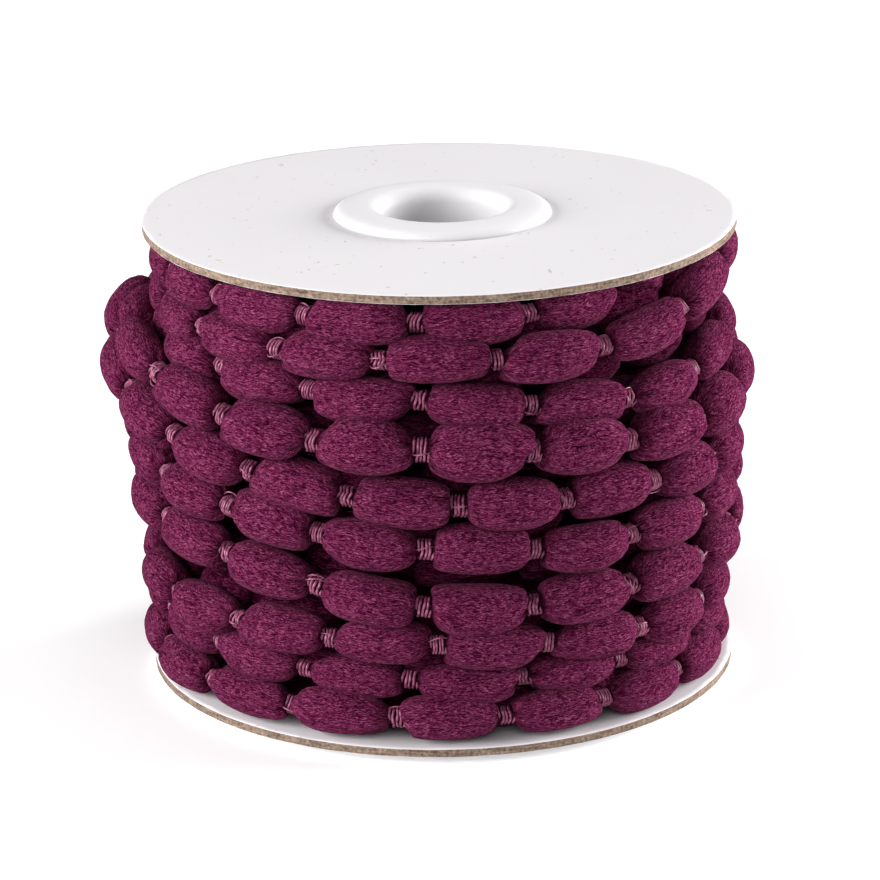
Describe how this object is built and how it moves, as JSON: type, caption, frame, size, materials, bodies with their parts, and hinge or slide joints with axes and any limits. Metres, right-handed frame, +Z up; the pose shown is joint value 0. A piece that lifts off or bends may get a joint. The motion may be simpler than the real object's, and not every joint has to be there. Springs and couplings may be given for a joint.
{
  "type": "spool of puffed pom-pom trim",
  "caption": "Standing craft spool with two round board flanges and a collared hub, wound with a plum string of soft brushed puffs tied off with thread.",
  "frame": {"origin": "spool axis at the floor, which is the centre of the bottom of the box", "axes": "+Z up along the spool axis; the tidy side of the winding faces 65 degrees round from -Y towards +X"},
  "size_m": [0.1057, 0.1089, 0.0816],
  "materials": {
    "board": "white paper over grey board",
    "plastic": "satin white moulding",
    "trim": "brushed plum fibre"
  },
  "bodies": {
    "root": {"flange_bottom": "board", "flange_top": "board", "hub": "plastic", "trim_roll": "trim"}
  },
  "joints": []
}
